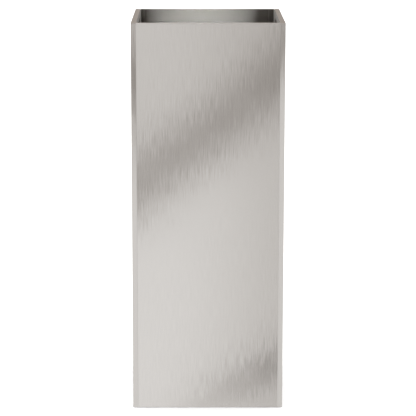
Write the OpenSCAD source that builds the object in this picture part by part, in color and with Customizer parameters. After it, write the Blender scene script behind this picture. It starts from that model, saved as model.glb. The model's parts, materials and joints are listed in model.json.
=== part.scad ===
// Square umbrella stand of folded steel sheet with a lift-out drip tray.
// +Z is up, the floor is z = 0, the front faces -Y, and the origin is the centre of the footprint.
// Two side panels carry the rim and the upright strips at the corners. The front and back panels
// sit between them, and their corner flanges are screwed to the side panels' returns.

/* [Stand] */
// Width across the side panels
stand_w = 240; // [220:5:300]
// Depth from the front face to the back face
stand_d = 240; // [220:5:300]
// Height from the floor to the rim
stand_h = 620; // [450:10:700]

/* [Folded sheet] */
// Thickness of the steel sheet
sheet_t = 1; // [0.8:0.1:1.2]
// Width of the rim and of the upright strips
rim_w = 8; // [8:0.5:10]
// Depth of the lip turned down inside the side rims
side_lip_h = 12; // [8:1:20]
// Depth of the lip turned down inside the front and back rims
end_lip_h = 30; // [26:1:40]
// Depth of the upright returns and flanges at the corners
return_w = 16; // [15:0.5:20]
// Width of the fold under the front and back panels
foot_fold_w = 15; // [14:0.5:20]
// Gap where two sheets butt or lie together
seam = 0.1; // [0.05:0.05:0.3]
// Relief between two folds that meet at a corner
relief = 0.5; // [0.3:0.1:1]

/* [Base pan] */
// Height of the base pan's top above the floor
base_top = 24; // [22:1:40]
// Clearance between the base pan and the panels
base_gap = 0.2; // [0.1:0.1:0.5]

/* [Drip tray] */
// Clearance from the tray's rim to the corner flanges
tray_clear = 4.9; // [4:0.1:10]
// Height of the tray
tray_h = 30; // [15:1:60]
// Wall thickness of the tray
tray_t = 2; // [1.5:0.5:3]
// Width of the tray's outward rim
tray_rim_w = 3; // [2:0.5:5]
// Corner radius of the tray's rim
tray_r = 14; // [10:1:30]
// Number of raised ribs on the tray's floor
tray_ribs = 7; // [3:1:11]

/* [Screws and nuts] */
// Diameter of the screw thread
screw_d = 4; // [3:0.5:4]
// Diameter of the screw head
head_d = 7.6; // [7:0.1:8]
// Height of the screw head
head_h = 2.2; // [1.8:0.1:2.4]
// Width across the flats of the key socket
key_w = 2.5; // [2:0.5:3]
// Width across the flats of the nuts
nut_w = 7; // [6:0.5:7]
// Thickness of the nuts
nut_t = 3.2; // [2.4:0.1:3.2]
// Length of the screws that join the panels
panel_screw_l = 6; // [5.5:0.5:6.5]
// Length of the screws that also hold the base pan
base_screw_l = 7.5; // [6.5:0.5:7.5]
// Height of the lowest panel screw
first_screw_z = 145; // [60:5:200]
// Number of panel screws in each corner
corner_rows = 3; // [2:1:4]

/* [Floor pads] */
// Length of a pad
pad_l = 30; // [20:1:40]
// Width of a pad
pad_w = 12; // [8:1:13]
// Thickness of a pad, which is also the gap under the panels
pad_t = 1; // [1:0.5:3]

/* [Hidden] */

half_w = stand_w / 2;
half_d = stand_d / 2;
return_x = half_w - rim_w;               // face of the side panels' returns that looks inwards
lip_y = half_d - rim_w;                  // face of the front and back lips that looks inwards
flange_x = return_x - seam;              // outer face of the front and back panels' flanges
tab_x = flange_x - sheet_t - seam;       // outer face of the base pan's corner tabs
screw_y = half_d - (sheet_t + return_w) / 2;
base_screw_z = (pad_t + base_top) / 2;
last_screw_z = stand_h - end_lip_h - 15;
screw_step = (last_screw_z - first_screw_z) / (corner_rows - 1);
panel_screw_zs = [for (row = [0 : corner_rows - 1]) first_screw_z + row * screw_step];
joint_zs = concat([base_screw_z], panel_screw_zs);

hole_d = screw_d + 0.5;                  // clearance hole through a sheet
thread_d = screw_d - 0.1;
nut_bore_d = screw_d + 0.1;
key_depth = head_h * 0.6;

pad_x = return_x - pad_l / 2 - 7;
pad_y = half_d - sheet_t - foot_fold_w / 2;

tray_z = base_top + 0.1;
tray_half_x = flange_x - sheet_t - tray_clear;
tray_half_y = lip_y - sheet_t - tray_clear;
rib_w = 2;
rib_h = 2;
rib_end = 12;                            // gap between a rib's end and the tray's wall

cut = 0.01;                              // overshoot that keeps cuts clean
$fn = 48;

// ---- shared shapes ----

module box(low, high) translate(low) cube(high - low);

module flip(x, y) mirror([x > 0 ? 1 : 0, 0, 0]) mirror([0, y > 0 ? 1 : 0, 0]) children();

// a cylinder along +X from x0 to x1
module rod_x(x0, x1, d, sides = $fn)
    translate([x0, 0, 0]) rotate([0, 90, 0]) cylinder(h = x1 - x0, d = d, $fn = sides);

module screw_holes(x0, x1, heights) for (z = heights) translate([0, -screw_y, z]) rod_x(x0, x1, hole_d);

module rounded_block(half_x, half_y, r, h) {
    box([-half_x + r, -half_y, 0], [half_x - r, half_y, h]);
    box([-half_x, -half_y + r, 0], [half_x, half_y - r, h]);
    for (x = [-1, 1], y = [-1, 1]) translate([x * (half_x - r), y * (half_y - r), 0]) cylinder(h = h, r = r);
}

// ---- side panels: drawn as the left one ----

module side_panel_corner() {
    difference() {
        union() {
            box([-half_w, -half_d, pad_t], [-return_x, -half_d + sheet_t, stand_h]);
            box([-return_x - sheet_t, -half_d, pad_t], [-return_x, -half_d + return_w, stand_h]);
        }
        screw_holes(-return_x - sheet_t - cut, -return_x + cut, joint_zs);
    }
}

module side_panel() {
    lip_end = half_d - return_w - relief;
    fold_end = half_d - sheet_t - relief;
    box([-half_w, -half_d, pad_t], [-half_w + sheet_t, half_d, stand_h]);
    box([-half_w, -half_d, stand_h - sheet_t], [-return_x, half_d, stand_h]);
    box([-return_x - sheet_t, -lip_end, stand_h - side_lip_h], [-return_x, lip_end, stand_h]);
    box([-half_w, -fold_end, pad_t], [-return_x - sheet_t - relief, fold_end, pad_t + sheet_t]);
    for (y = [-1, 1]) flip(-1, y) side_panel_corner();
}

module left_panel() color("silver") side_panel();
module right_panel() color("silver") flip(1, -1) side_panel();

// ---- front and back panels: drawn as the front one ----

module end_panel_flange() {
    difference() {
        box([-flange_x, -half_d, pad_t], [-flange_x + sheet_t, -half_d + return_w, stand_h]);
        screw_holes(-flange_x - cut, -flange_x + sheet_t + cut, joint_zs);
    }
}

module end_panel() {
    fold_end = flange_x - sheet_t - relief;
    box([-flange_x, -half_d, pad_t], [flange_x, -half_d + sheet_t, stand_h]);
    box([-flange_x, -half_d, stand_h - sheet_t], [flange_x, -lip_y, stand_h]);
    box([-fold_end, -lip_y - sheet_t, stand_h - end_lip_h], [fold_end, -lip_y, stand_h]);
    box([-fold_end, -half_d, pad_t], [fold_end, -half_d + sheet_t + foot_fold_w, pad_t + sheet_t]);
    for (x = [-1, 1]) flip(x, -1) end_panel_flange();
}

module front_panel() color("silver") end_panel();
module back_panel() color("silver") flip(-1, 1) end_panel();

// ---- base pan: stands on the folds under the panels ----

module base_tab() {
    difference() {
        box([-tab_x, -half_d + sheet_t + 2, pad_t + 4], [-tab_x + sheet_t, -half_d + return_w, base_top]);
        screw_holes(-tab_x - cut, -tab_x + sheet_t + cut, [base_screw_z]);
    }
}

module base_pan() {
    floor_z = base_top - sheet_t;
    skirt_z = pad_t + sheet_t;
    end_y = half_d - sheet_t - base_gap;
    wing_x = half_w - sheet_t - base_gap;
    wing_y = half_d - return_w - base_gap;
    skirt_x = tab_x - sheet_t - 2;
    color("silver") {
        box([-tab_x, -end_y, floor_z], [tab_x, end_y, base_top]);
        box([-wing_x, -wing_y, floor_z], [wing_x, wing_y, base_top]);
        for (side = [-1, 1]) {
            flip(-1, side) box([-skirt_x, -end_y, skirt_z], [skirt_x, -end_y + sheet_t, base_top]);
            flip(side, -1) box([-wing_x, -wing_y, skirt_z], [-wing_x + sheet_t, wing_y, base_top]);
        }
        for (x = [-1, 1], y = [-1, 1]) flip(x, y) base_tab();
    }
}

// ---- drip tray ----

module drip_tray() {
    body_x = tray_half_x - tray_rim_w;
    body_y = tray_half_y - tray_rim_w;
    body_r = tray_r - tray_rim_w;
    rib_step = 2 * body_x / (tray_ribs + 1);
    rib_half_y = body_y - tray_t - rib_end;
    color("dimgray") translate([0, 0, tray_z]) {
        difference() {
            union() {
                rounded_block(body_x, body_y, body_r, tray_h);
                translate([0, 0, tray_h - tray_t]) rounded_block(tray_half_x, tray_half_y, tray_r, tray_t);
            }
            translate([0, 0, tray_t])
                rounded_block(body_x - tray_t, body_y - tray_t, body_r - tray_t, tray_h);
        }
        for (rib = [1 : tray_ribs]) translate([rib * rib_step - body_x, 0, 0])
            box([-rib_w / 2, -rib_half_y, tray_t - cut], [rib_w / 2, rib_half_y, tray_t + rib_h]);
    }
}

// ---- fasteners: drawn at the front left corner, heads towards the inside ----

module screw(head_x, length) {
    difference() {
        union() {
            rod_x(head_x - length, head_x + cut, thread_d);
            rod_x(head_x, head_x + head_h, head_d);
        }
        rod_x(head_x + head_h - key_depth, head_x + head_h + cut, key_w / cos(30), 6);
    }
}

module nut() {
    difference() {
        rod_x(-return_x - sheet_t - nut_t, -return_x - sheet_t, nut_w / cos(30), 6);
        rod_x(-return_x - sheet_t - nut_t - cut, -return_x - sheet_t + cut, nut_bore_d);
    }
}

module corner_screws(x, y) color("gainsboro") flip(x, y)
    for (z = panel_screw_zs) translate([0, -screw_y, z]) screw(-flange_x + sheet_t, panel_screw_l);

module corner_nuts(x, y) color("gray") flip(x, y)
    for (z = joint_zs) translate([0, -screw_y, z]) nut();

module base_screws() color("gainsboro") for (x = [-1, 1], y = [-1, 1]) flip(x, y)
    translate([0, -screw_y, base_screw_z]) screw(-tab_x + sheet_t, base_screw_l);

// ---- floor pads: stuck under the folds of the front and back panels ----

module pad(x, y) {
    half_run = (pad_l - pad_w) / 2;
    color("black") translate([x * pad_x, y * pad_y, 0]) {
        box([-half_run, -pad_w / 2, 0], [half_run, pad_w / 2, pad_t]);
        for (end = [-1, 1]) translate([end * half_run, 0, 0]) cylinder(h = pad_t, d = pad_w);
    }
}

left_panel();
right_panel();
front_panel();
back_panel();
base_pan();
drip_tray();
corner_screws(-1, -1);  // screws_front_left
corner_screws(1, -1);  // screws_front_right
corner_screws(-1, 1);  // screws_back_left
corner_screws(1, 1);  // screws_back_right
corner_nuts(-1, -1);  // nuts_front_left
corner_nuts(1, -1);  // nuts_front_right
corner_nuts(-1, 1);  // nuts_back_left
corner_nuts(1, 1);  // nuts_back_right
base_screws();
pad(-1, -1);  // pad_front_left
pad(1, -1);  // pad_front_right
pad(-1, 1);  // pad_back_left
pad(1, 1);  // pad_back_right
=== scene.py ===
"""Looks of the umbrella stand: brushed steel sheet, moulded drip tray, floor, studio light and camera."""

import json
import math

import bmesh
import bpy
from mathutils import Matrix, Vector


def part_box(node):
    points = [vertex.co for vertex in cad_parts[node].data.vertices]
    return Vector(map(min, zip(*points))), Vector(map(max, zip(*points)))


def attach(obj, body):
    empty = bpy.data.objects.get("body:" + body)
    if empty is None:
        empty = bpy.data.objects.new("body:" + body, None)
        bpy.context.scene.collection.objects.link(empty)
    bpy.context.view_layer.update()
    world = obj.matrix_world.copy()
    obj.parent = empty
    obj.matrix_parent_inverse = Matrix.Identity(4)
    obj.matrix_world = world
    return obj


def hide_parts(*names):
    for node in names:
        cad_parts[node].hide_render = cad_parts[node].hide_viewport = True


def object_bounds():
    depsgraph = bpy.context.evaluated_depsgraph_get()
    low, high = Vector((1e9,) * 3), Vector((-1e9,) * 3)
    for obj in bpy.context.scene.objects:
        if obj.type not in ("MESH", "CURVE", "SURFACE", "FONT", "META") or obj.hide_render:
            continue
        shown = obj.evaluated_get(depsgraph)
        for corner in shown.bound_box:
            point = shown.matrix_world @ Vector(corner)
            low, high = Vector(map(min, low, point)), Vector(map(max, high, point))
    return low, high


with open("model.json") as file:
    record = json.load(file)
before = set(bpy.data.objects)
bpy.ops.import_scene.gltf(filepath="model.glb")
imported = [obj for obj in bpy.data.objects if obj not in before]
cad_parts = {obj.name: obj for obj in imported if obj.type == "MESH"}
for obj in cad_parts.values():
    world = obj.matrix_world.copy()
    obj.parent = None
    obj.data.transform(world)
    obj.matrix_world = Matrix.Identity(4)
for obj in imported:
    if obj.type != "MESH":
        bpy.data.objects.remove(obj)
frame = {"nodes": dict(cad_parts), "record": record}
cad_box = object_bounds()

CORNERS = ("front_left", "front_right", "back_left", "back_right")
SIDE_PANELS = ("left_panel", "right_panel")
END_PANELS = ("front_panel", "back_panel")


# ---- node trees ----


class Tree:
    """Short calls that add nodes to one node tree."""

    def __init__(self, owner):
        owner.use_nodes = True
        self.nodes = owner.node_tree.nodes
        self.links = owner.node_tree.links
        self.nodes.clear()

    def add(self, kind, inputs=None, **settings):
        """A node of that kind. An input is a plain value, or another node's output."""
        node = self.nodes.new(kind)
        for name, value in settings.items():
            setattr(node, name, value)
        for key, value in (inputs or {}).items():
            self.put(node.inputs[key], value)
        return node

    def put(self, socket, value):
        if isinstance(value, bpy.types.NodeSocket):
            self.links.new(value, socket)
        else:
            socket.default_value = value

    def math(self, operation, *values):
        return self.add("ShaderNodeMath", dict(enumerate(values)), operation=operation).outputs[0]

    def vector(self, operation, *values):
        """The vector from a Vector Math node. SCALE takes its factor as the last value."""
        node = self.add("ShaderNodeVectorMath", operation=operation)
        if operation == "SCALE":
            self.put(node.inputs["Scale"], values[-1])
            values = values[:-1]
        for socket, value in zip(node.inputs, values):
            self.put(socket, value)
        return node.outputs["Vector"]

    def remap(self, value, low, high, to_low=0.0, to_high=1.0, smooth=True):
        kind = "SMOOTHSTEP" if smooth else "LINEAR"
        inputs = {"Value": value, "From Min": low, "From Max": high, "To Min": to_low, "To Max": to_high}
        return self.add("ShaderNodeMapRange", inputs, interpolation_type=kind).outputs["Result"]

    def around_zero(self, noise, most):
        """A noise spread evenly about zero, up to most either way."""
        return self.remap(noise, 0.2, 0.8, -most, most, smooth=False)

    def noise(self, vector, detail=2.0, roughness=0.5):
        inputs = {"Vector": vector, "Scale": 1.0, "Detail": detail, "Roughness": roughness}
        return self.add("ShaderNodeTexNoise", inputs).outputs["Fac"]

    def mix(self, factor, first, second):
        """A colour between two colours. A Mix node's colours are its inputs 6 and 7 and its output 2."""
        inputs = {0: factor, 6: first, 7: second}
        return self.add("ShaderNodeMix", inputs, data_type="RGBA").outputs[2]

    def window(self, value, rise, fall):
        """1 between two soft edges and 0 outside them."""
        return self.math("MULTIPLY", self.remap(value, *rise), self.remap(value, *fall, 1.0, 0.0))

    def dimmed(self, level, share, mask):
        """The level, lowered by that share of it where the mask is 1."""
        return self.math("MULTIPLY", level, self.math("SUBTRACT", 1.0, self.math("MULTIPLY", mask, share)))


NOISE_MIDDLE = (0.3, 0.7)  # most of a noise lies in here


def new_material(name):
    material = bpy.data.materials.new(name)
    return material, Tree(material)


# ---- brushed steel ----

# Noise patterns on the map 'grain': their scale across and along the brushing, per metre.
STREAKS = (1 / 0.0012, 1 / 0.028, 1)
FINE_STREAKS = (1 / 0.0006, 1 / 0.05, 1)
CLOUDS = (14.0, 9.0, 1)
SWELLS = (5.0, 3.0, 1)

STREAK_SHARE = 0.65  # of the streaks in the tone; the fine streaks have the rest
TONE_CHANGE = 0.02  # how much lighter and darker than the plain colour
FINE_GLOSS_IN = (0.25, 0.75)
FINE_GLOSS_CHANGE = 0.01  # in roughness
CLOUD_GLOSS_CHANGE = 0.004
STREAK_LIE = 0.0065  # the slope that the streaks give the surface, along the brushing
FINE_LIE = 0.003  # the fine streaks', across it
SWELL_LIE = 0.001  # and the swells', along it
SHEEN_ROUGHNESS = 0.1  # the sheen of level brushing, which fans out upright and stays sharp sideways
SHEEN_ANISOTROPY = -0.95


def brushed_steel(name, colour, roughness, unevenness=1.0, sheen=0.0):
    """Steel brushed along V of the map 'grain': streaks in tone, gloss and lie, on a slightly uneven sheet.

    unevenness scales the lie. sheen is how much of what the steel mirrors fans out upright, from 0 to 1,
    where the brushing is level."""
    material, tree = new_material(name)
    grain = tree.add("ShaderNodeUVMap", uv_map="grain").outputs["UV"]
    streaks = tree.noise(tree.vector("MULTIPLY", grain, STREAKS))
    fine = tree.noise(tree.vector("MULTIPLY", grain, FINE_STREAKS))
    clouds = tree.noise(tree.vector("MULTIPLY", grain, CLOUDS))
    swells = tree.noise(tree.vector("MULTIPLY", grain, SWELLS), detail=1.0)

    light = [c * (1 + TONE_CHANGE) for c in colour] + [1]
    dark = [c * (1 - TONE_CHANGE) for c in colour] + [1]
    fine_tone = tree.math("MULTIPLY", fine, 1 - STREAK_SHARE)
    tone = tree.math("ADD", fine_tone, tree.math("MULTIPLY", streaks, STREAK_SHARE))
    fine_gloss = tree.remap(fine, *FINE_GLOSS_IN, -FINE_GLOSS_CHANGE, FINE_GLOSS_CHANGE)
    cloud_gloss = tree.remap(clouds, *NOISE_MIDDLE, -CLOUD_GLOSS_CHANGE, CLOUD_GLOSS_CHANGE)

    along, across = grain_directions(tree)
    streak_lie = tree.around_zero(streaks, STREAK_LIE * unevenness)
    fine_lie = tree.around_zero(fine, FINE_LIE * unevenness)
    swell_lie = tree.around_zero(swells, SWELL_LIE * unevenness)
    normal = tree.add("ShaderNodeNewGeometry").outputs["Normal"]
    normal = tree.vector("ADD", normal, tree.vector("SCALE", along, tree.math("ADD", streak_lie, swell_lie)))
    normal = tree.vector("ADD", normal, tree.vector("SCALE", across, fine_lie))
    normal = tree.vector("NORMALIZE", normal)

    shader = tree.add(
        "ShaderNodeBsdfPrincipled",
        {
            "Base Color": tree.mix(tree.remap(tone, *NOISE_MIDDLE), dark, light),
            "Metallic": 1.0,
            "Roughness": tree.math("ADD", tree.math("ADD", fine_gloss, cloud_gloss), roughness),
            "Normal": normal,
        },
    )
    surface = shader.outputs[0]
    if sheen:
        fan = tree.add(
            "ShaderNodeBsdfAnisotropic",
            {
                "Color": light,
                "Roughness": SHEEN_ROUGHNESS,
                "Anisotropy": SHEEN_ANISOTROPY,
                "Tangent": tree.add("ShaderNodeCombineXYZ", {"Z": 1.0}).outputs[0],
                "Normal": normal,
            },
            distribution="GGX",
        )
        surface = tree.add("ShaderNodeMixShader", {0: sheen, 1: surface, 2: fan.outputs[0]}).outputs[0]
    tree.add("ShaderNodeOutputMaterial", {"Surface": surface})
    return material


def grain_directions(tree):
    """Unit vectors along and across the brushing, in the surface."""
    across = tree.add("ShaderNodeTangent", direction_type="UV_MAP", uv_map="grain").outputs[0]
    normal = tree.add("ShaderNodeNewGeometry").outputs["Normal"]
    return tree.vector("CROSS_PRODUCT", normal, across), across


# ---- pieces made from the CAD solids ----

WELD_DISTANCE = 0.00001
FLAT_ANGLE = math.radians(1)  # faces that meet at less are one face
SHARP_ANGLE = math.radians(30)  # and at more, an edge to be rounded
EDGE_SEGMENTS = 3
LARGE_FACE_WEIGHT = 100  # of large faces in the shading of the rounded edges beside them


def node_body(node):
    bodies = frame["record"]["behaviour"]["bodies"]
    return [body for body, members in bodies.items() if node in members][0]


def finished_copy(node, radius, bend=None):
    """A copy of a CAD node that stands for it, welded, bent a little if asked, and with rounded edges."""
    piece = bpy.data.objects.new(node + "_finished", frame["nodes"][node].data.copy())
    bpy.context.scene.collection.objects.link(piece)
    shape = bmesh.new()
    shape.from_mesh(piece.data)
    bmesh.ops.remove_doubles(shape, verts=shape.verts, dist=WELD_DISTANCE)
    bmesh.ops.dissolve_limit(shape, angle_limit=FLAT_ANGLE, verts=shape.verts, edges=shape.edges)
    if bend:
        bend(shape.verts)
    sharp = [e for e in shape.edges if len(e.link_faces) == 2 and e.calc_face_angle() > SHARP_ANGLE]
    settings = {"segments": EDGE_SEGMENTS, "profile": 0.5, "affect": "EDGES", "clamp_overlap": True}
    bmesh.ops.bevel(shape, geom=sharp, offset=radius, **settings)
    for face in shape.faces:
        face.smooth = True
    shape.to_mesh(piece.data)
    shape.free()
    piece.data.materials.clear()
    normals = piece.modifiers.new("flat_faces", "WEIGHTED_NORMAL")
    normals.weight = LARGE_FACE_WEIGHT
    normals.keep_sharp = True
    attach(piece, node_body(node))
    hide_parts(node)
    return piece


# ---- panels and base pan ----

FOLD_RADIUS = 0.00035
SHEET_DEPTH = 0.0015  # a little more than the sheet's thickness
LEFT_STRIP_SPRING = math.tan(math.radians(2.8))
RIGHT_STRIP_SPRING = math.tan(math.radians(0.65))
RIM_DROP = math.tan(math.radians(2.0))

RIM, LIP, CUT_END, INSIDE = 1, 2, 3, 4  # material slots of a panel, after its outside
TURNED = 0.7  # how far a face's normal points one way, for the face to count as turned that way
WELL_SIDE = 0.03  # how far the well's middle lies in front of a face that looks into the well
LIP_DEPTH = 0.03  # a face whose middle is less than this below the top belongs to a lip
CUT_END_AREA = 0.001  # square metres; a cut end is smaller

# Where each sheet lies on the brushing pattern, in metres, so that no two sheets have the same streaks.
GRAIN_PLACES = {
    "left_panel": 0.0,
    "right_panel": 1.37,
    "front_panel": 3.1,
    "back_panel": 4.47,
    "base_pan": 7.3,
}


def lean_strip(verts, flush, slope):
    """Sets a side panel's front strip back, more the further it is from x = flush, as folding leaves it."""
    front = cad_box[0].y + SHEET_DEPTH
    for vert in verts:
        if vert.co.y < front:
            vert.co.y += slope * abs(vert.co.x - flush)


def drop_rim(verts, outer):
    """Lets a side rim fall slightly from its outer edge at x = outer to its inner edge."""
    top = cad_box[1].z - SHEET_DEPTH
    for vert in verts:
        if vert.co.z > top:
            vert.co.z -= RIM_DROP * abs(vert.co.x - outer)


def bend_left_panel(verts):
    lean_strip(verts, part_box("front_panel")[0].x, LEFT_STRIP_SPRING)
    drop_rim(verts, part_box("left_panel")[0].x)


def bend_right_panel(verts):
    lean_strip(verts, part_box("front_panel")[1].x, RIGHT_STRIP_SPRING)
    drop_rim(verts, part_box("right_panel")[1].x)


BENDS = {"left_panel": bend_left_panel, "right_panel": bend_right_panel}


def set_finishes_and_painted_light(panel, *materials):
    """Gives the top faces a rim material, and the faces that look into the well one of the last three.
    Besides their finish, the rim, lip and cut-end materials hold painted shade or painted light in their
    colours.
    """
    for material in materials:
        panel.data.materials.append(material)
    for face in panel.data.polygons:
        inward = -(face.normal.x * face.center.x + face.normal.y * face.center.y)
        if face.normal.z > TURNED:
            face.material_index = RIM
        elif inward > WELL_SIDE and face.center.z > cad_box[1].z - LIP_DEPTH:
            face.material_index = LIP
        elif inward > WELL_SIDE:
            narrow = abs(face.normal.y) > TURNED and face.area < CUT_END_AREA
            face.material_index = CUT_END if narrow else INSIDE


def map_grain(piece, node, level_along):
    """Adds the UV map 'grain', in metres, with V along the brushing.

    It is upright on upright faces, level on lips, and along the axis level_along on level faces."""
    layer = piece.data.uv_layers.new(name="grain")
    shift = GRAIN_PLACES[node]
    vertices = piece.data.vertices
    for face in piece.data.polygons:
        size = [abs(c) for c in face.normal]
        for loop in face.loop_indices:
            x, y, z = vertices[piece.data.loops[loop].vertex_index].co
            if size[2] == max(size):
                u, v = (y, x) if level_along == "X" else (x, y)
            elif size[0] == max(size):
                u, v = y, z
            else:
                u, v = x, z
            if face.material_index == LIP:
                u, v = v, u
            layer.data[loop].uv = (u + shift, v + shift)


def make_panels():
    outside = brushed_steel("brushed_outside", (0.669, 0.646, 0.623), 0.075)
    # painted shade: the outside steel made darker and warmer for the side rims, added to the dim ceiling
    # they mirror
    side_rim_painted_shade = brushed_steel("side_rim_painted_shade", (0.535, 0.497, 0.46), 0.35)
    # painted light: the outside steel made lighter, so the rougher front and back rims stay bright
    end_rim_painted_light = brushed_steel("end_rim_painted_light", (0.85, 0.83, 0.8), 0.45)
    # painted shade: the same steel made darker for the side lips inside the well
    side_lip_painted_shade = brushed_steel("side_lip_painted_shade", (0.45, 0.432, 0.408), 0.12)
    # painted shade: the same steel made darker, which darkens the top of the well and its back corners; the
    # upright sheen is real gloss
    end_lip_painted_shade = brushed_steel("end_lip_painted_shade", (0.45, 0.434, 0.413), 0.5, unevenness=0.05, sheen=0.98)
    # painted highlight: the same steel made lighter, for the light upright line the cut ends make in the
    # back corners
    cut_end_painted_highlight = brushed_steel("cut_end_painted_highlight", (0.9, 0.87, 0.84), 0.42)
    inside = brushed_steel("inside_steel", (0.7, 0.685, 0.66), 0.55)
    for node in SIDE_PANELS:
        panel = finished_copy(node, FOLD_RADIUS, BENDS[node])
        set_finishes_and_painted_light(panel, outside, side_rim_painted_shade, side_lip_painted_shade, cut_end_painted_highlight, inside)
        map_grain(panel, node, "X")
    for node in END_PANELS:
        panel = finished_copy(node, FOLD_RADIUS)
        set_finishes_and_painted_light(panel, outside, end_rim_painted_light, end_lip_painted_shade, cut_end_painted_highlight, inside)
        map_grain(panel, node, "Y")


def make_base_pan():
    pan = finished_copy("base_pan", FOLD_RADIUS)
    pan.data.materials.append(brushed_steel("base_steel", (0.52, 0.515, 0.505), 0.3))
    map_grain(pan, "base_pan", "Y")


# ---- plastic, rubber and fasteners ----

PATCH_SIZE = 30  # the patches in tone are so many times the grain's size
GRAIN_STRENGTH = 0.6
GRAIN_GLOSS_CHANGE = 0.06  # in roughness

TRAY_EDGE = 0.0005  # radii of rounded edges
FASTENER_EDGE = 0.0003
PAD_EDGE = 0.0002


def grained(name, light, dark, scale, roughness, metallic=0.0, height=0.0001):
    """A plain surface with a fine all-over grain: moulded plastic, rubber or zinc plating."""
    material, tree = new_material(name)
    place = tree.add("ShaderNodeTexCoord").outputs["Object"]
    grain = tree.noise(tree.vector("SCALE", place, scale), detail=4.0, roughness=0.6)
    patches = tree.noise(tree.vector("SCALE", place, scale / PATCH_SIZE))
    bump = tree.add("ShaderNodeBump", {"Height": grain, "Distance": height, "Strength": GRAIN_STRENGTH})
    glossy = roughness - GRAIN_GLOSS_CHANGE
    dull = roughness + GRAIN_GLOSS_CHANGE
    shader = tree.add(
        "ShaderNodeBsdfPrincipled",
        {
            "Base Color": tree.mix(tree.remap(patches, *NOISE_MIDDLE), dark, light),
            "Metallic": metallic,
            "Roughness": tree.remap(grain, *NOISE_MIDDLE, glossy, dull),
            "Normal": bump.outputs["Normal"],
        },
    )
    tree.add("ShaderNodeOutputMaterial", {"Surface": shader.outputs[0]})
    return material


def make_small_parts():
    plastic = grained("tray_plastic", (0.13, 0.132, 0.136, 1), (0.108, 0.11, 0.113, 1), 900.0, 0.5)
    rubber = grained("pad_rubber", (0.04, 0.04, 0.04, 1), (0.022, 0.022, 0.022, 1), 1500.0, 0.8)
    bright, dull = (0.74, 0.74, 0.73, 1), (0.62, 0.62, 0.61, 1)
    zinc = grained("zinc_plate", bright, dull, 1800.0, 0.28, metallic=1.0, height=0.00002)
    parts = [
        ("drip_tray", TRAY_EDGE, plastic, "tray_plastic"),
        ("base_screws", FASTENER_EDGE, zinc, "screw_steel"),
    ]
    for corner in CORNERS:
        parts.append(("screws_" + corner, FASTENER_EDGE, zinc, "screw_steel"))
        parts.append(("nuts_" + corner, FASTENER_EDGE, zinc, "nut_steel"))
        parts.append(("pad_" + corner, PAD_EDGE, rubber, "pad_rubber"))
    for node, radius, material, slot in parts:
        piece = finished_copy(node, radius)
        piece.data.materials.append(material)


# ---- floor ----

FLOOR_SIZE = 60.0


def make_floor():
    half = FLOOR_SIZE / 2
    corners = [(-half, -half, 0), (half, -half, 0), (half, half, 0), (-half, half, 0)]
    mesh = bpy.data.meshes.new("floor")
    mesh.from_pydata(corners, [], [(0, 1, 2, 3)])
    floor = bpy.data.objects.new("floor", mesh)
    bpy.context.scene.collection.objects.link(floor)
    floor.visible_glossy = False
    material, tree = new_material("floor_white")
    shader = tree.add("ShaderNodeBsdfPrincipled", {"Base Color": (0.9, 0.9, 0.9, 1), "Roughness": 0.9})
    shader.inputs["Specular IOR Level"].default_value = 0.0
    tree.add("ShaderNodeOutputMaterial", {"Surface": shader.outputs[0]})
    mesh.materials.append(material)


# ---- studio light ----

BACKGROUND = (1.9, 1.9, 1.9, 1)  # what all but mirrored rays see

# What the steel mirrors of the studio, by direction. Right and front say how far a direction points to
# the right and to the front, from -1 to 1, and climb is its slope up from the horizon. A pair of numbers
# is a soft edge, from where a change sets in to where it is complete.

# Wide dark bands that climb to the right. Their edges are counted in climb, straight ahead.
BAND_SLOPE = 0.8
BAND_SPACING = 0.5
BAND_FOOT = (-0.2, -0.158)
BAND_HEAD = (-0.173, -0.136)
BAND_DEPTH = 0.7
BAND_LEAD = 0.03  # a band's pattern begins this far below its foot
DIM_ABOVE = 0.18  # how much darker it stays above a band
CLEAR_AGAIN = (-0.03, 0.17)

# Left of TURN_BACK, and only straight ahead, the bands climb again, and it is darker higher up.
TURN_BACK = -0.045
TURN_BACK_AHEAD = (0.9, 1)
TURN_BACK_GAIN = 2.0
LEFT_SHADE_IN = (0.0, 0.07)
LEFT_SHADE_RISE = (-0.205, -0.16)
LEFT_SHADE = 0.13

# A narrow dark stripe straight ahead, which grows stronger to the right.
STRIPE_SLOPE = 0.56
STRIPE_FOOT = (-0.329, -0.328)
STRIPE_HEAD = (-0.316, -0.315)
STRIPE_GROWTH = (-0.045, 0.074)
STRIPE_DEPTH = 0.98

# Shaded stretches.
SHADE_IN = (-0.025, 0.15)  # straight ahead it darkens to the right
SHADE_OUT = (0.055, 0.061)
SHADE = 0.72
SIDE_SHADE = 0.09  # the same on either side of what is straight ahead
FAR_SHADE_IN = (0.2, 0.6)
FAR_SHADE = 0.25
SHADE_WARMTH = 0.055  # how much warmer the darker parts are

# The dark upper part in front, and the ceiling behind.
GLOOM_AHEAD = (0.1, 0.5)
GLOOM_FOOT = (-0.01, 0.15)
GLOOM_HEAD = (2.5, 6.0)
GLOOM = 0.975
CEILING_BEHIND = (-0.3, -0.9)
CEILING_FOOT = (0.12, 0.15)
CEILING_HEAD = (1.2, 2.5)
CEILING = (0.34, 0.29, 0.25, 1)

# A soft box behind the camera.
BOX_PLACE = (0.0015, -3.52, 1.348)
BOX_SIZE = (0.407, 0.182)
BOX_POWER = 5.9
BOX_EDGE = 0.1  # how bright its left and right edges are beside its middle
BOX_FALLOFF = 2.2


LEAST_LEVEL = 0.001  # keeps the divisions by a direction's level part from failing straight up


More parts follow.
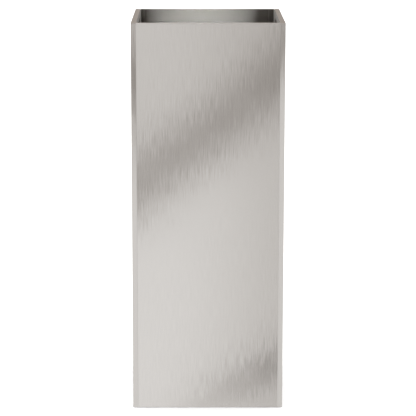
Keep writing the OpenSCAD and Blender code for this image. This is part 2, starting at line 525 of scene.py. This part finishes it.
def directions(tree):
    """How far right and how far to the front a direction points, and how steeply it climbs."""
    direction = tree.add("ShaderNodeTexCoord").outputs["Generated"]
    x, y, z = tree.add("ShaderNodeSeparateXYZ", {0: direction}).outputs
    level = tree.math("SQRT", tree.math("ADD", tree.math("POWER", x, 2.0), tree.math("POWER", y, 2.0)))
    level = tree.math("MAXIMUM", level, LEAST_LEVEL)
    right = tree.math("DIVIDE", x, level)
    front = tree.math("DIVIDE", y, tree.math("MULTIPLY", level, -1.0))
    return right, front, tree.math("DIVIDE", z, level)


def shaded(tree, light, right):
    """The light with the stretches that are shaded whatever the climb."""
    light = tree.dimmed(light, SHADE, tree.window(right, SHADE_IN, SHADE_OUT))
    light = tree.dimmed(light, SIDE_SHADE, tree.remap(tree.math("ABSOLUTE", right), *SHADE_OUT))
    return tree.dimmed(light, FAR_SHADE, tree.remap(right, *FAR_SHADE_IN))


def banded(tree, light, right, front, climb):
    """The light with the wide bands, the shade to the left of them, and the stripe."""
    turn = tree.math("MULTIPLY", right, front)
    beyond = tree.math("MAXIMUM", tree.math("SUBTRACT", TURN_BACK, right), 0.0)
    beyond = tree.math("MULTIPLY", beyond, tree.remap(front, *TURN_BACK_AHEAD, 0.0, TURN_BACK_GAIN))
    rise = tree.math("MULTIPLY", tree.math("ADD", turn, beyond), BAND_SLOPE)
    lowest = BAND_FOOT[0] - BAND_LEAD
    place = tree.math("WRAP", tree.math("SUBTRACT", climb, rise), lowest + BAND_SPACING, lowest)
    light = tree.dimmed(light, BAND_DEPTH, tree.window(place, BAND_FOOT, BAND_HEAD))
    light = tree.dimmed(light, DIM_ABOVE, tree.window(place, (BAND_FOOT[0], BAND_HEAD[1]), CLEAR_AGAIN))

    left = tree.math("MULTIPLY", tree.remap(beyond, *LEFT_SHADE_IN), tree.remap(climb, *LEFT_SHADE_RISE))
    light = tree.dimmed(light, LEFT_SHADE, left)

    ahead = tree.math("MULTIPLY", tree.window(right, STRIPE_GROWTH, SHADE_OUT), tree.remap(front, 0, 1))
    place = tree.math("SUBTRACT", climb, tree.math("MULTIPLY", turn, STRIPE_SLOPE))
    stripe = tree.math("MULTIPLY", ahead, tree.window(place, STRIPE_FOOT, STRIPE_HEAD))
    return tree.dimmed(light, STRIPE_DEPTH, stripe)


def make_world():
    """White light from all round. What the steel mirrors is a softly banded studio."""
    world = bpy.data.worlds.new("studio")
    bpy.context.scene.world = world
    tree = Tree(world)
    right, front, climb = directions(tree)
    light = banded(tree, shaded(tree, 1.0, right), right, front, climb)
    height = tree.window(climb, GLOOM_FOOT, GLOOM_HEAD)
    gloom = tree.math("MULTIPLY", tree.remap(front, *GLOOM_AHEAD), height)
    light = tree.dimmed(light, GLOOM, gloom)

    red = tree.math("POWER", light, 1 - SHADE_WARMTH)
    blue = tree.math("POWER", light, 1 + SHADE_WARMTH)
    warmed = tree.add("ShaderNodeCombineColor", {"Red": red, "Green": light, "Blue": blue}).outputs[0]
    height = tree.window(climb, CEILING_FOOT, CEILING_HEAD)
    ceiling = tree.math("MULTIPLY", tree.remap(front, *CEILING_BEHIND), height)
    mirrored = tree.mix(ceiling, warmed, CEILING)

    is_mirrored = tree.add("ShaderNodeLightPath").outputs["Is Glossy Ray"]
    seen = tree.mix(is_mirrored, BACKGROUND, mirrored)
    background = tree.add("ShaderNodeBackground", {"Color": seen, "Strength": 1.0})
    tree.add("ShaderNodeOutputWorld", {"Surface": background.outputs[0]})


def make_lights():
    """A soft box behind the camera that shines over the front rim into the well. Its middle is brightest."""
    lamp = bpy.data.lights.new("front_box", "AREA")
    lamp.shape = "RECTANGLE"
    lamp.size, lamp.size_y = BOX_SIZE
    lamp.energy = BOX_POWER
    tree = Tree(lamp)
    place = tree.add("ShaderNodeNewGeometry").outputs["Parametric"]
    across = tree.add("ShaderNodeSeparateXYZ", {0: place}).outputs[0]
    from_middle = tree.math("ABSOLUTE", tree.math("MULTIPLY_ADD", across, 2.0, -1.0))
    falloff = tree.math("MULTIPLY", tree.math("POWER", from_middle, BOX_FALLOFF), 1 - BOX_EDGE)
    emission = tree.add("ShaderNodeEmission", {"Strength": tree.math("SUBTRACT", 1.0, falloff)})
    tree.add("ShaderNodeOutputLight", {"Surface": emission.outputs[0]})

    box = bpy.data.objects.new("front_box", lamp)
    bpy.context.scene.collection.objects.link(box)
    box.location = BOX_PLACE
    top = (cad_box[0] + cad_box[1]) / 2
    top.z = cad_box[1].z
    box.rotation_mode = "QUATERNION"
    box.rotation_quaternion = (top - box.location).to_track_quat("-Z", "Y")
    box.visible_camera = False


# ---- camera: almost level, a little above the rim ----

CAMERA_DISTANCE = 2.8  # from the front face
CAMERA_X = -0.017
CAMERA_HEIGHT = 0.904
CAMERA_TILT = 11.61  # degrees below the horizon
CAMERA_LENS = 156.9  # mm
CAMERA_SENSOR = 36  # mm wide
CAMERA_SHIFT_X = 0.026


def make_camera():
    camera = bpy.data.objects.new("camera", bpy.data.cameras.new("camera"))
    bpy.context.scene.collection.objects.link(camera)
    bpy.context.scene.camera = camera
    camera.location = (CAMERA_X, cad_box[0].y - CAMERA_DISTANCE, CAMERA_HEIGHT)
    camera.rotation_euler = (math.radians(90 - CAMERA_TILT), 0, 0)
    camera.data.lens = CAMERA_LENS
    camera.data.sensor_width = CAMERA_SENSOR
    camera.data.shift_x = CAMERA_SHIFT_X


# ---- everything ----


make_camera()
make_floor()
make_world()
make_lights()
make_panels()
make_base_pan()
make_small_parts()
bpy.context.scene.view_settings.view_transform = "Standard"
